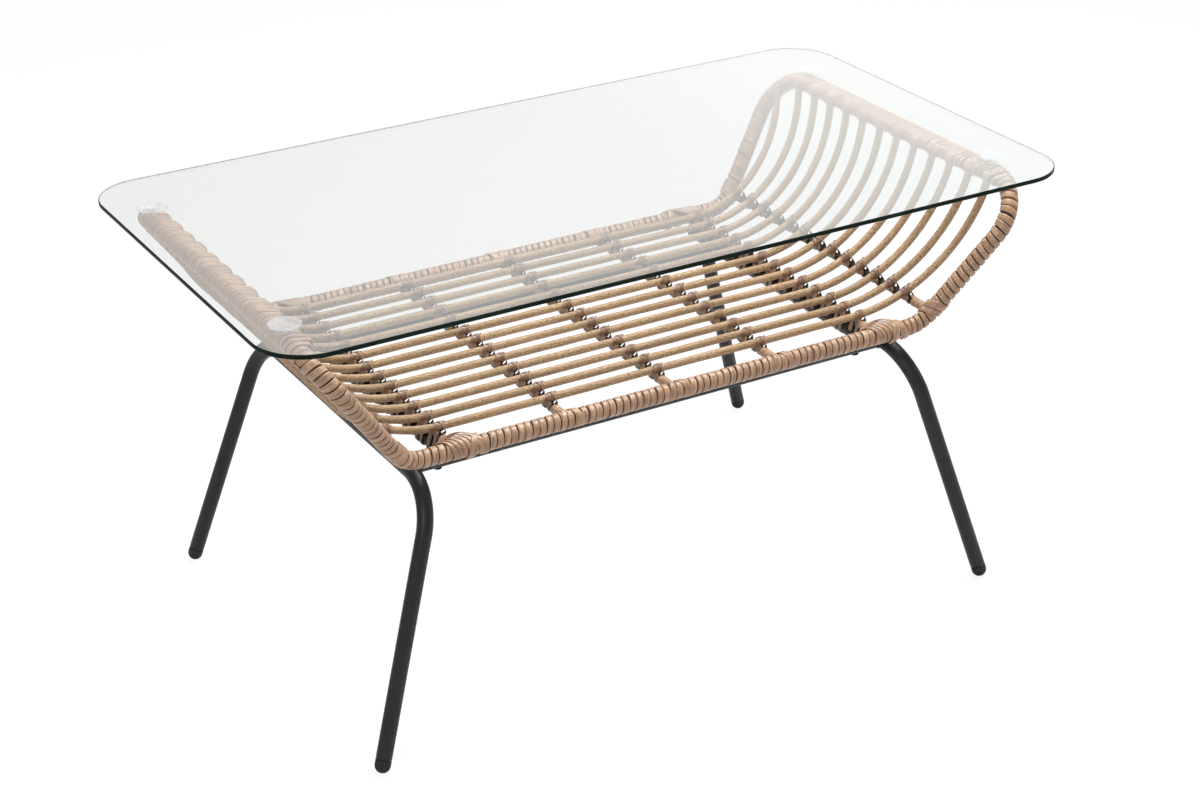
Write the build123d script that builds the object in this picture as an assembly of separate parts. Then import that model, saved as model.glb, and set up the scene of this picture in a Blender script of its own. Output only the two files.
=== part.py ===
"""Wicker coffee table with a glass top.

A rounded glass plate rests on four clear cups. The cups stand on a wrapped
steel rim whose two ends sweep up from a flat tray. Thirteen round reeds run
from end to end over seven cross rods, and each crossing is lashed. Two bent
leg frames and two stretchers make the black steel base.

Units are millimetres. Z is up, X runs along the table, Y runs from the front
(negative) to the rear. The origin is on the floor under the table's centre.
"""
from build123d import *
import math
import os

# --- driving dimensions -------------------------------------------------

GLASS_LENGTH = 1000
GLASS_DEPTH = 540
GLASS_THICK = 5
GLASS_TOP = 513
GLASS_CORNER_R = 60
GLASS_ARRIS = 0.8

STEEL_R = 8
STEEL_WALL = 1.5
FRAME_R = 9
WRAP_THICK = 2
FIT_GAP = 0.1

RIM_BASE_X = 337
RIM_BASE_Y = 208
RIM_BASE_Z = 332
RIM_BEND_R = 42
RIM_TOP_X = 451
RIM_TOP_Y = 255
RIM_TOP_Z = 488
RIM_CORNER_R = 52

REED_R = 4.5
REED_COUNT = 13
REED_PITCH_BASE = 29
REED_PITCH_TOP = 35
REED_SHIFT_BASE = 7
REED_SHIFT_TOP = 15
REED_BEND_X = 267.6
REED_TIP_RISE = 2

ROD_R = 4.5
ROD_PITCH = 138.5
END_ROD_X = 346
END_ROD_Z = 349.5
ROD_TO_REED = ROD_R + REED_R + FIT_GAP

KNOT_R = 6
KNOT_ON_REED = 8
KNOT_ON_ROD = 16
KNOT_CLEAR = 0.15
END_LASH_THICK = 1.3
END_LASH_WIDTH = 8

TRAY_TUBE_Z = 317.7
TRAY_TUBE_HALF = 191
BASE_Z = 300.6
LEG_TOP_X = 313.5
LEG_TOP_Y = 222.4
FOOT_X = 406
FOOT_Y = 265
LEG_BEND_R = 60
STRETCHER_Y = 164

FOOT_CENTRE_Z = 8.7
FOOT_COLLAR = 6.5
FOOT_PLUG_LENGTH = 18

CUP_Y = 181
CUP_DEPTH = 10
CUP_DISC_R = 18
CUP_DISC_THICK = 1.3
CUP_NECK_R = 7
CUP_NECK_TAPER = 1
CUP_NECK_LENGTH = 5
CUP_STEM_R = 3
CUP_STEM_DEPTH = 9

BOLT_R = 3
BOLT_HEAD_R = 5
BOLT_HEAD_HEIGHT = 1.6
BOLT_HEAD_ROUND = 1.2

# --- worked-out dimensions ----------------------------------------------

RIM_R = STEEL_R + WRAP_THICK
GLASS_UNDERSIDE = GLASS_TOP - GLASS_THICK
REED_BASE_Z = RIM_BASE_Z + ROD_TO_REED
REED_TIP_CLEAR = RIM_R + REED_R + 2 * FIT_GAP
REED_NUMBERS = range(REED_COUNT)
ROD_NUMBERS = range(1, 8)
SIDES = ((-1, "left"), (1, "right"))
ENDS = ((-1, "front"), (1, "rear"))


def save(shape, node, label_color):
    """Write one node's solids to its own STEP file."""
    shape.label = node
    shape.color = Color(*label_color)
    export_step(shape, f"parts/{node}.step")


# --- shared shape helpers -----------------------------------------------

def rounded_loop(corners, radii):
    """Closed wire through 3-D corners, each rounded by an arc of its radius."""
    edges = []
    arcs = []
    count = len(corners)
    for index, (corner, radius) in enumerate(zip(corners, radii)):
        back = (corners[index - 1] - corner).normalized()
        ahead = (corners[(index + 1) % count] - corner).normalized()
        half_angle = math.radians(back.get_angle(ahead)) / 2
        setback = radius / math.tan(half_angle)
        bisector = (back + ahead).normalized()
        middle = corner + bisector * (radius / math.sin(half_angle) - radius)
        arcs.append((corner + back * setback, middle, corner + ahead * setback))
    for index, arc in enumerate(arcs):
        edges.append(ThreePointArc(*arc))
        edges.append(Line(arc[2], arcs[(index + 1) % count][0]))
    return Wire(edges)


def section_at(path, *radii):
    """Round section on the start of a path: a disc, or a ring for two radii."""
    plane = Plane(origin=path @ 0, z_dir=path % 0)
    face = plane * Circle(radii[0])
    if len(radii) > 1:
        face -= plane * Circle(radii[1])
    return face


def tube_along(path, outer, inner):
    """Hollow tube that follows a path."""
    return sweep(section_at(path, outer), path=path) - sweep(section_at(path, inner), path=path)


def rod_between(start, end, radius):
    """Solid round bar between two points."""
    axis = end - start
    plane = Plane(origin=start, z_dir=axis)
    return extrude(plane * Circle(radius), amount=axis.length)


# --- rim ----------------------------------------------------------------

def rim_path():
    """Centre line of the rim: flat front and rear runs, raised ends."""
    corners = []
    radii = []
    for side, end in ((1, -1), (1, 1), (-1, 1), (-1, -1)):
        base = (Vector(side * RIM_BASE_X, end * RIM_BASE_Y, RIM_BASE_Z), RIM_BEND_R)
        top = (Vector(side * RIM_TOP_X, end * RIM_TOP_Y, RIM_TOP_Z), RIM_CORNER_R)
        order = (base, top) if side == -end else (top, base)
        for point, radius in order:
            corners.append(point)
            radii.append(radius)
    return rounded_loop(corners, radii)


def rim_y_at(height):
    """Distance from the centre plane to the sloping side of the rim."""
    share = (height - RIM_BASE_Z) / (RIM_TOP_Z - RIM_BASE_Z)
    return RIM_BASE_Y + share * (RIM_TOP_Y - RIM_BASE_Y)


def rim_solid(path, radius):
    """Solid bar that fills the rim out to a radius."""
    return sweep(section_at(path, radius), path=path)


# --- reeds --------------------------------------------------------------

def reed_base_y(number):
    return REED_SHIFT_BASE + (number - (REED_COUNT - 1) / 2) * REED_PITCH_BASE


def reed_top_y(number):
    return REED_SHIFT_TOP + (number - (REED_COUNT - 1) / 2) * REED_PITCH_TOP


def rim_side_direction():
    """Direction of the rim's sloping side, from its base up and outwards."""
    run = Vector(RIM_TOP_X - RIM_BASE_X, RIM_TOP_Y - RIM_BASE_Y, RIM_TOP_Z - RIM_BASE_Z)
    return run.normalized()


def rail_turn(y):
    """Angle the right end rail has turned through at a distance y from the middle."""
    corner_turn = math.acos(-rim_side_direction().Y)
    straight_half = RIM_TOP_Y - RIM_CORNER_R * math.tan(corner_turn / 2)
    return math.asin(max(0, abs(y) - straight_half) / RIM_CORNER_R)


def rail_down():
    """Direction square to the end rail in which its corners turn down."""
    side = rim_side_direction()
    return Vector(-side.X, 0, -side.Z).normalized()


def rail_centre(y):
    """Centre of the right end rail at y; it dips where the corners begin."""
    dip = RIM_CORNER_R * (1 - math.cos(rail_turn(y)))
    return Vector(RIM_TOP_X, y, RIM_TOP_Z) + rail_down() * dip


def reed_tip(number):
    """Right-hand tip of a reed, standing just inside the end rail."""
    y = reed_top_y(number)
    slant = rail_down().X * math.sin(rail_turn(y))
    clear = REED_TIP_CLEAR / math.sqrt(1 - slant ** 2)
    return rail_centre(y) + Vector(-clear, 0, REED_TIP_RISE)


def reed_lean(number):
    """Angle by which a reed's plane leans back from the vertical."""
    tip = reed_tip(number)
    return math.atan2(tip.Y - reed_base_y(number), tip.Z - REED_BASE_Z)


def reed_bend(number):
    """Radius of a reed's bend and the angle it bends through, up to its tip."""
    tip = reed_tip(number)
    run = tip.X - REED_BEND_X
    height = (tip.Z - REED_BASE_Z) / math.cos(reed_lean(number))
    return (run ** 2 + height ** 2) / (2 * height), 2 * math.atan2(height, run)


def reed_plane(number):
    """Leaning plane that holds one reed: x along the table, y up the lean."""
    lean = reed_lean(number)
    up = Vector(0, math.sin(lean), math.cos(lean))
    origin = Vector(0, reed_base_y(number), REED_BASE_Z)
    return Plane(origin=origin, x_dir=(1, 0, 0), z_dir=Vector(1, 0, 0).cross(up))


def reed_outline_point(number, angle):
    """Point on the right-hand bend of a reed, in the reed's own plane."""
    radius, _ = reed_bend(number)
    return REED_BEND_X + radius * math.sin(angle), radius * (1 - math.cos(angle))


def reed_path(number):
    """Flat run that curves up at both ends and stands beside the end rail."""
    _, turn = reed_bend(number)
    start, middle, tip = (reed_outline_point(number, angle) for angle in (0, turn / 2, turn))
    right = ThreePointArc(start, middle, tip)
    left = ThreePointArc(*((-x, height) for x, height in (tip, middle, start)))
    outline = Wire([left, Line((-start[0], 0), start), right])
    return reed_plane(number) * outline


def reed_solid(number, radius):
    """One reed as a bar of the given radius."""
    path = reed_path(number)
    return sweep(section_at(path, radius), path=path)


def reed_point(number, reach):
    """Centre and direction of a reed at a distance along X from the middle."""
    radius, _ = reed_bend(number)
    angle = math.asin(max(0, abs(reach) - REED_BEND_X) / radius)
    height = radius * (1 - math.cos(angle))
    plane = reed_plane(number)
    side = math.copysign(1, reach)
    centre = plane.from_local_coords(Vector(reach, height, 0))
    ahead = plane.from_local_coords(Vector(reach + math.cos(angle), height + side * math.sin(angle), 0))
    return centre, ahead - centre


# --- cross rods and lashings --------------------------------------------

def rod_centre(number):
    """X and Z of a cross rod; rods 1 and 7 lie on the raised ends."""
    if number in (1, 7):
        return (END_ROD_X if number == 7 else -END_ROD_X), END_ROD_Z
    return (number - 4) * ROD_PITCH, RIM_BASE_Z


def rod_half_length(number):
    """Rods stop just short of the rim's steel core."""
    return rim_y_at(rod_centre(number)[1]) - STEEL_R - 3 * FIT_GAP


def cross_rod(number, radius, extra=0):
    """Straight cross rod of the given radius, lengthened by extra."""
    x, z = rod_centre(number)
    half = rod_half_length(number) + extra
    return rod_between(Vector(x, -half, z), Vector(x, half, z), radius)


def knot_reach(rod_number, reed_number):
    """X at which a reed passes over a cross rod."""
    x, _ = rod_centre(rod_number)
    if rod_number not in (1, 7):
        return x
    radius, _ = reed_bend(reed_number)
    slope = math.asin((END_ROD_X - REED_BEND_X) / (radius + ROD_TO_REED))
    return x - math.copysign(ROD_TO_REED * math.sin(slope), x)


def knot(rod_number, reed_number):
    """Lashing at one crossing: a collar on the reed joined to one on the rod."""
    centre, direction = reed_point(reed_number, knot_reach(rod_number, reed_number))
    rod_x, rod_z = rod_centre(rod_number)
    rod_point = Vector(rod_x, centre.Y, rod_z)
    along = direction.normalized()
    across = Vector(0, 1, 0)
    reed_collar = rod_between(
        centre - along * (KNOT_ON_REED / 2), centre + along * (KNOT_ON_REED / 2), KNOT_R
    )
    rod_collar = rod_between(
        rod_point - across * (KNOT_ON_ROD / 2), rod_point + across * (KNOT_ON_ROD / 2), KNOT_R
    )
    reed_bore = rod_between(
        centre - along * KNOT_ON_ROD, centre + along * KNOT_ON_ROD, REED_R + KNOT_CLEAR
    )
    rod_bore = rod_between(
        rod_point - across * KNOT_ON_ROD, rod_point + across * KNOT_ON_ROD, ROD_R + KNOT_CLEAR
    )
    return reed_collar + rod_collar - reed_bore - rod_bore


def lashing_row(rod_number):
    """All the knots along one cross rod."""
    return Compound(children=[knot(rod_number, reed) for reed in REED_NUMBERS])


def end_lashing(side, fat_rim, fat_reeds):
    """Bands that tie the reed tips to the end rail, one band per reed."""
    bands = []
    for number in REED_NUMBERS:
        y = reed_top_y(number)
        rail_at = rail_centre(y)
        tip_at = reed_tip(number)
        rail = Pos(side * rail_at.X, rail_at.Z) * Circle(RIM_R + END_LASH_THICK)
        tip = Pos(side * tip_at.X, rail_at.Z) * Circle(REED_R + END_LASH_THICK)
        outline = Plane.XZ.offset(-y) * make_hull(rail.edges() + tip.edges())
        block = extrude(outline, amount=END_LASH_WIDTH / 2, both=True)
        band = block - fat_rim - fat_reeds[number]
        for end, _ in ENDS:
            band -= rail_top_hole(side, end, CUP_NECK_R + FIT_GAP)
        bands.append(max(band.solids(), key=lambda piece: piece.volume))
    return Compound(children=bands)


# --- glass and cups -----------------------------------------------------

def glass_top():
    """Rounded glass plate with a lightly ground edge."""
    plate = Box(GLASS_LENGTH, GLASS_DEPTH, GLASS_THICK)
    plate = Pos(0, 0, GLASS_TOP - GLASS_THICK / 2) * plate
    plate = fillet(plate.edges().filter_by(Axis.Z), GLASS_CORNER_R)
    rims = plate.faces().sort_by(Axis.Z)
    return chamfer(rims[0].edges() + rims[-1].edges(), GLASS_ARRIS)


def suction_cup(side, end, fat_rim):
    """Clear cup: a dished disc on a neck, with a stem down into the rail."""
    disc_top = CUP_DEPTH - FIT_GAP
    profile = Polyline(
        (0, -CUP_STEM_DEPTH),
        (CUP_STEM_R, -CUP_STEM_DEPTH),
        (CUP_STEM_R, 0),
        (CUP_NECK_R, 0),
        (CUP_NECK_R - CUP_NECK_TAPER, CUP_NECK_LENGTH),
        (CUP_DISC_R, disc_top - CUP_DISC_THICK),
        (CUP_DISC_R, disc_top),
        (0, disc_top),
        close=True,
    )
    body = revolve(Plane.XZ * make_face(profile), axis=Axis.Z)
    saddle_z = GLASS_UNDERSIDE - CUP_DEPTH
    placed = Pos(side * RIM_TOP_X, end * CUP_Y, saddle_z) * body
    stem = Pos(side * RIM_TOP_X, end * CUP_Y, saddle_z - CUP_STEM_DEPTH / 2) * Cylinder(
        CUP_STEM_R, CUP_STEM_DEPTH
    )
    return (placed - fat_rim) + stem


def rail_top_hole(side, end, radius):
    """Upright hole through the top of the end rail, under a cup."""
    return Pos(side * RIM_TOP_X, end * CUP_Y, RIM_TOP_Z + RIM_R) * Cylinder(radius, 2 * RIM_R)


# --- steel base ---------------------------------------------------------

def leg_frame_corners(side):
    """Foot, bend, bend, foot of one leg frame, without the foot caps."""
    bend = Vector(side * LEG_TOP_X, -LEG_TOP_Y, BASE_Z)
    foot = Vector(side * FOOT_X, -FOOT_Y, FOOT_CENTRE_Z)
    tube_end = foot + (bend - foot).normalized() * FOOT_COLLAR
    mirror = [Vector(point.X, -point.Y, point.Z) for point in (bend, tube_end)]
    return [tube_end, bend, *mirror]


def leg_path(side):
    """Centre line of one leg frame."""
    return FilletPolyline(*leg_frame_corners(side), radius=LEG_BEND_R)


def leg_frame(side):
    """Steel tube bent into an inverted U that leans outwards."""
    return tube_along(leg_path(side), FRAME_R, FRAME_R - STEEL_WALL)


def foot_cap(side, end):
    """Plastic plug with a domed tip, flattened where it meets the floor."""
    tip = Vector(side * FOOT_X, end * FOOT_Y, FOOT_CENTRE_Z)
    bend = Vector(side * LEG_TOP_X, end * LEG_TOP_Y, BASE_Z)
    up = (bend - tip).normalized()
    collar = rod_between(tip, tip + up * (FOOT_COLLAR - FIT_GAP), FRAME_R)
    plug_r = FRAME_R - STEEL_WALL - FIT_GAP
    plug = rod_between(tip, tip + up * (FOOT_COLLAR + FOOT_PLUG_LENGTH), plug_r)
    dome = Pos(*tip) * Sphere(FRAME_R)
    below_floor = Pos(tip.X, tip.Y, -FRAME_R) * Box(4 * FRAME_R, 4 * FRAME_R, 2 * FRAME_R)
    return collar + plug + dome - below_floor


def stretcher(end):
    """Straight tube between the leg frames, coped to fit against them."""
    reach = LEG_TOP_X - 1
    start = Vector(-reach, end * STRETCHER_Y, BASE_Z)
    finish = Vector(reach, end * STRETCHER_Y, BASE_Z)
    bar = rod_between(start, finish, FRAME_R) - rod_between(start, finish, FRAME_R - STEEL_WALL)
    for side, _ in SIDES:
        path = leg_path(side)
        bar -= sweep(section_at(path, FRAME_R + FIT_GAP), path=path)
        bar -= bolt_shank(side, end, BOLT_R + FIT_GAP)
    return bar


def tray_tube(side):
    """Tube under the outer flat cross rod, carried by the two stretchers."""
    x = side * ROD_PITCH * 2
    start = Vector(x, -TRAY_TUBE_HALF, TRAY_TUBE_Z)
    finish = Vector(x, TRAY_TUBE_HALF, TRAY_TUBE_Z)
    tube = rod_between(start, finish, STEEL_R) - rod_between(start, finish, STEEL_R - STEEL_WALL)
    for end, _ in ENDS:
        tube -= bolt_shank(side, end, BOLT_R + FIT_GAP)
    return tube


def bolt_shank(side, end, radius):
    """Vertical shank from under a stretcher into the tray tube."""
    x = side * ROD_PITCH * 2
    y = end * STRETCHER_Y
    return rod_between(Vector(x, y, BASE_Z - FRAME_R - FIT_GAP), Vector(x, y, TRAY_TUBE_Z), radius)


def tray_bolts():
    """Four round-headed bolts that hold the tray to the base."""
    bolts = []
    for side, _ in SIDES:
        for end, _ in ENDS:
            top = Vector(side * ROD_PITCH * 2, end * STRETCHER_Y, BASE_Z - FRAME_R - FIT_GAP)
            head = rod_between(top - Vector(0, 0, BOLT_HEAD_HEIGHT), top, BOLT_HEAD_R)
            head = fillet(head.edges().sort_by(Axis.Z)[0], BOLT_HEAD_ROUND)
            bolts.append(head + bolt_shank(side, end, BOLT_R))
    return Compound(children=bolts)


# --- build --------------------------------------------------------------

WICKER = (0.62, 0.49, 0.38)
REED = (0.72, 0.58, 0.42)
BLACK = (0.09, 0.09, 0.1)
CLEAR = (0.8, 0.85, 0.85)


def build_rim():
    """Steel rim core and the wrap around it, with their holes."""
    path = rim_path()
    core = rim_solid(path, STEEL_R) - rim_solid(path, STEEL_R - STEEL_WALL)
    wrap = rim_solid(path, RIM_R) - rim_solid(path, STEEL_R + FIT_GAP / 2)
    for side, _ in SIDES:
        for end, _ in ENDS:
            core -= rail_top_hole(side, end, CUP_STEM_R + FIT_GAP)
            wrap -= rail_top_hole(side, end, CUP_STEM_R + FIT_GAP)
    for number in ROD_NUMBERS:
        wrap -= cross_rod(number, ROD_R + KNOT_CLEAR, extra=RIM_R / 2)
    save(core, "rim_tube", BLACK)
    save(wrap, "rim_wrap", WICKER)
    return rim_solid(path, RIM_R + FIT_GAP)


def build_tray(fat_rim):
    """Reeds, cross rods and every lashing."""
    fat_reeds = []
    for number in REED_NUMBERS:
        save(reed_solid(number, REED_R), f"reed_{number + 1:02d}", REED)
        fat_reeds.append(reed_solid(number, REED_R + KNOT_CLEAR))
    for number in ROD_NUMBERS:
        save(cross_rod(number, ROD_R), f"cross_rod_{number}", BLACK)
        save(lashing_row(number), f"lashing_row_{number}", WICKER)
    for side, side_name in SIDES:
        save(end_lashing(side, fat_rim, fat_reeds), f"end_lashing_{side_name}", WICKER)


def build_base():
    """Leg frames, foot caps, stretchers, tray tubes and bolts."""
    for side, side_name in SIDES:
        save(leg_frame(side), f"leg_frame_{side_name}", BLACK)
        save(tray_tube(side), f"tray_tube_{side_name}", BLACK)
        for end, end_name in ENDS:
            save(foot_cap(side, end), f"foot_cap_{end_name}_{side_name}", BLACK)
    for end, end_name in ENDS:
        save(stretcher(end), f"stretcher_{end_name}", BLACK)
    save(tray_bolts(), "tray_bolts", BLACK)


def build_top(fat_rim):
    """Glass plate and the four cups under it."""
    save(glass_top(), "glass_top", CLEAR)
    for side, side_name in SIDES:
        for end, end_name in ENDS:
            save(suction_cup(side, end, fat_rim), f"suction_cup_{end_name}_{side_name}", CLEAR)


os.makedirs("parts", exist_ok=True)
FAT_RIM = build_rim()
build_tray(FAT_RIM)
build_base()
build_top(FAT_RIM)
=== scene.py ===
"""Looks for the wicker coffee table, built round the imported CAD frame.

Lengths in this script are millimetres until a mesh is made, when they become
metres. Every pattern is seeded, so each run gives the same table.
"""
import math
import bpy
import numpy as np
from mathutils import Matrix, Vector


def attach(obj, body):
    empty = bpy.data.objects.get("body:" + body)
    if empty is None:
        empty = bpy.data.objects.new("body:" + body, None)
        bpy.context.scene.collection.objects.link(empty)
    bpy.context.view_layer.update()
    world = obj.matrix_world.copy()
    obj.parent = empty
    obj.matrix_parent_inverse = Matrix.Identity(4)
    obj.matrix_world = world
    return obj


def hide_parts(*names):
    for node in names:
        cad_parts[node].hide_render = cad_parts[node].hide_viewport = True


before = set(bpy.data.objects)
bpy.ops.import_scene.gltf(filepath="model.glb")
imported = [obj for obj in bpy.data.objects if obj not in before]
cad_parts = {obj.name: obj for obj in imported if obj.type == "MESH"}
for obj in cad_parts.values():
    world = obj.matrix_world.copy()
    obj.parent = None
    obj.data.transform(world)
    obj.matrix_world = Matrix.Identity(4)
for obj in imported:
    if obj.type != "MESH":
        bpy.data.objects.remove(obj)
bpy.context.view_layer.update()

RNG = np.random.default_rng(7)
METRES = 0.001

# --- sizes shared with the CAD part ---

# Corners of the rim, legs and glass are those of the rear right quarter; the others mirror it.
STEEL_R = 8.0
FRAME_R = 9.0
WRAP_R = 9.0

RIM_BASE = (337.0, 208.0, 332.0)
RIM_TOP = (451.0, 255.0, 488.0)
RIM_BEND_R = 42.0
RIM_CORNER_R = 52.0

REED_R = 4.5
REED_COUNT = 13
REED_BASE_Z = 341.1
REED_PITCH_BASE, REED_SHIFT_BASE = 29.0, 7.0
REED_PITCH_TOP, REED_SHIFT_TOP = 35.0, 15.0
REED_BEND_X = 267.6
REED_TIP_RISE = 2.0
REED_TIP_CLEAR = 14.7

ROD_R = 4.5
ROD_PITCH = 138.5
# X and Z of the raised rods.
END_ROD = (346.0, 349.5)
ROD_DEPTH = 9.1

TRAY_TUBE_Z = 317.7
TRAY_TUBE_HALF = 191.0
BASE_Z = 300.6
LEG_TOP = (313.5, 222.4)
FOOT = (406.0, 265.0, 8.7)
LEG_BEND_R = 60.0
FOOT_COLLAR = 6.5
STRETCHER_Y = 164.0

GLASS = (1000.0, 540.0)
GLASS_LOW, GLASS_HIGH = 508.0, 513.0
GLASS_CORNER_R = 60.0
CUP_Y = 181.0

# --- sizes of the wound strip ---

STRIP_THICK = 1.0
# A strip's section, as shares of its width and thickness. Its edges dig in.
STRIP_ACROSS = np.array([-0.5, -0.47, -0.36, -0.18, 0.0, 0.18, 0.36, 0.47, 0.5])
STRIP_HEIGHT = np.array([-0.25, 0.45, 0.86, 1.0, 0.9, 1.0, 0.86, 0.45, -0.25])

WRAP_PITCH = 8.7
RAIL_PITCH = REED_PITCH_TOP / 5
WRAP_COVER = 0.91
WRAP_CROWN = 1.25
WRAP_LIFT = 0.12
WRAP_SLIP = 0.4
WRAP_SWAY = 0.25
SLIP_JITTER, WIDTH_JITTER = 0.25, 0.2

# The end bindings run from before the first reed tip to after the last one.
RAIL_BEFORE, RAIL_AFTER = 24.0, 6.0
# The binding's bulge over a reed tip, and its taper towards the next one.
TIP_WRAP_R = 6.2
TIP_BULGE = 15.0
TIP_REACH = 5.0
TIP_TAPER, TIP_TAPER_RUN = 5.6, 23.0
TIP_RUN_IN = 18.0

# A knot: a band slants over the reed, and a thinner strand tents over the band.
KNOT_THICK = 0.75
BAND_WIDTH, BAND_SLANT, BAND_SHIFT = 10.0, 6.0, 1.5
BAND_HALF_TURN = math.radians(110)
TENT_WIDTH = 5.6
TENT_WIDE, TENT_CLOSE = 0.85, 0.68
PASS_WIDTH, PASS_LANE = 6.4, 5.3
KNOT_JITTER = 0.4
KNOT_CLEAR = 10.0
STRAND_GAP = 0.3

# The fan of strands at a tray tube's end, and the crossed pair beside it.
FAN_COUNT, FAN_WIDTH = 6, 5.6
CROSS_WIDTH, CROSS_AWAY = 9.0, 23.0

# --- unevenness and small parts ---

REED_SWAY, REED_UNEVEN = 0.35, 0.09
EDGE_ROUND = 0.3
STRETCHER_INSET = 5.0
BEAD_R, BEAD_RIPPLE, BEAD_WAVES = 1.5, 0.18, 16
BEAD_INSET, BEAD_STANDOFF = 0.3, 0.2
TUBE_END_ROUND = 1.6
PLUG_R, PLUG_DEPTH = FRAME_R - 1.7, 14.0
CORNER_STEPS = 20

# Turned outlines: rows of radius and height.
BOLT_HEAD = ((5.0, 0), (5.0, 0.5), (4.6, 1.2), (3.9, 1.6), (2.6, 1.6), (2.5, 1.5))
BOLT_SOCKET = ((2.5, 1.5), (2.3, 0.5), (0.05, 0.4))
BOLT_SHANK = ((3.0, 0), (3.0, -16.0))
CUP_OUTLINE = (
    (0.05, -10.6), (5.0, -10.6), (6.3, -10.0), (6.3, -7.4), (5.6, -6.0), (6.6, -4.6),
    (9.0, -3.6), (13.5, -2.5), (17.0, -1.5), (18.0, -0.9), (18.0, -0.45), (17.4, -0.15),
    (15.5, -0.12), (9.5, -0.5), (8.2, -1.2), (7.2, -1.3), (6.6, -0.7), (5.8, -0.7),
    (5.2, -1.9), (3.0, -2.3), (0.05, -2.4))
# The plate's rounded arris: rows of inset and height above the lower face.
GLASS_ARRIS = ((1.1, 0.0), (0.5, 0.12), (0.12, 0.45), (0.0, 1.0))

# --- light and camera, in metres, watts and degrees ---

AMBIENT = 0.42
FLOOR_REACH, FLOOR_DROP = 15.0, 0.0004
FLOOR_GLOW, FLOOR_GLOW_SHARE = 1.1, 0.8
# Name, place, aim, size and power.
SOFTBOXES = (
    ("overhead", (0.75, 0.4, 2.3), (0.0, 0.0, 0.3), 1.3, 49.0),
    ("right", (2.6, -1.2, 1.4), (0.2, 0.0, 0.3), 1.2, 5.0),
    ("left", (-2.4, -1.8, 1.9), (-0.1, 0.0, 0.3), 1.2, 20.0),
)
CAMERA_AT = (-1.305, -2.2373, 1.5295)
CAMERA_AZIMUTH, CAMERA_ELEVATION, CAMERA_ROLL = -28.85, 26.66, -0.97
CAMERA_LENS, CAMERA_SENSOR = 72.68, 36.0
CAMERA_SHIFT = (0.0593, 0.0013)

# The plate's top carries a painted reflection of studio light: a pale diffuse layer whose share grows
# towards the right.
BLOOM_COLOUR = (0.645, 0.657, 0.65, 1.0)
BLOOM_SHARE, BLOOM_GROWTH = 0.29, 1.7
BLOOM_FROM_X, BLOOM_TO_X = 0.0, 0.45

UP = np.array([0.0, 0.0, 1.0])
# Cross rods are numbered from left to right.
ROWS = range(1, 8)
RAISED_ROWS = (1, 7)
TUBE_ROWS = (2, 6)
SIDES = ((-1, "left"), (1, "right"))
ENDS = ((-1, "front"), (1, "rear"))


# --- small geometry helpers ---

def unit(vectors):
    """Vectors scaled to length one."""
    vectors = np.asarray(vectors, float)
    return vectors / np.maximum(np.linalg.norm(vectors, axis=-1, keepdims=True), 1e-12)


def rounded_path(corners, radii, closed, step):
    """Points at an even step along a polyline whose corners are rounded."""
    corners = [np.asarray(c, float) for c in corners]
    points = []
    count = len(corners)
    for i, corner in enumerate(corners):
        if not closed and i in (0, count - 1):
            points.append(corner)
            continue
        back = unit(corners[i - 1] - corner)
        ahead = unit(corners[(i + 1) % count] - corner)
        half = math.acos(np.clip(back @ ahead, -1, 1)) / 2
        middle = unit(back + ahead)
        centre = corner + middle * radii[i] / math.sin(half)
        start = corner + back * radii[i] / math.tan(half)
        arm = start - centre
        for angle in np.linspace(0, math.pi - 2 * half, 25):
            points.append(centre + arm * math.cos(angle) - back * radii[i] * math.sin(angle))
    if closed:
        points.append(points[0])
    return resample(np.array(points), step)


def resample(points, step):
    """The same polyline with evenly spaced points."""
    lengths = np.concatenate([[0], np.cumsum(np.linalg.norm(np.diff(points, axis=0), axis=1))])
    count = max(2, int(round(lengths[-1] / step)) + 1)
    at = np.linspace(0, lengths[-1], count)
    return np.stack([np.interp(at, lengths, points[:, k]) for k in range(3)], axis=1)


def smooth_loop(points, closed, per_span):
    """Catmull-Rom curve through rows of numbers."""
    points = np.asarray(points, float)
    count = len(points)
    spans = count if closed else count - 1
    share = np.linspace(0, 1, per_span, endpoint=False)[:, None]
    rows = []
    for i in range(spans):
        if closed:
            p0, p1, p2, p3 = (points[(i + k) % count] for k in (-1, 0, 1, 2))
        else:
            p0, p1, p2, p3 = (points[min(max(i + k, 0), count - 1)] for k in (-1, 0, 1, 2))
        bend = 2 * p0 - 5 * p1 + 4 * p2 - p3
        twist = 3 * p1 - p0 - 3 * p2 + p3
        rows.append(0.5 * (2 * p1 + (p2 - p0) * share + bend * share**2 + twist * share**3))
    if not closed:
        rows.append(points[-1:])
    return np.concatenate(rows)


def tangents(points, closed=False):
    """Unit direction of a polyline at each of its points."""
    if closed:
        return unit(np.roll(points, -1, axis=0) - np.roll(points, 1, axis=0))
    return unit(np.gradient(points, axis=0))


def wobble(length, scale, seed):
    """Random numbers near zero that drift slowly, for hand-made variation."""
    local = np.random.default_rng(seed)
    knots = max(4, int(length / scale) + 3)
    return np.interp(np.linspace(0, knots - 1, length), np.arange(knots), local.normal(0, 1, knots))


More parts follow.
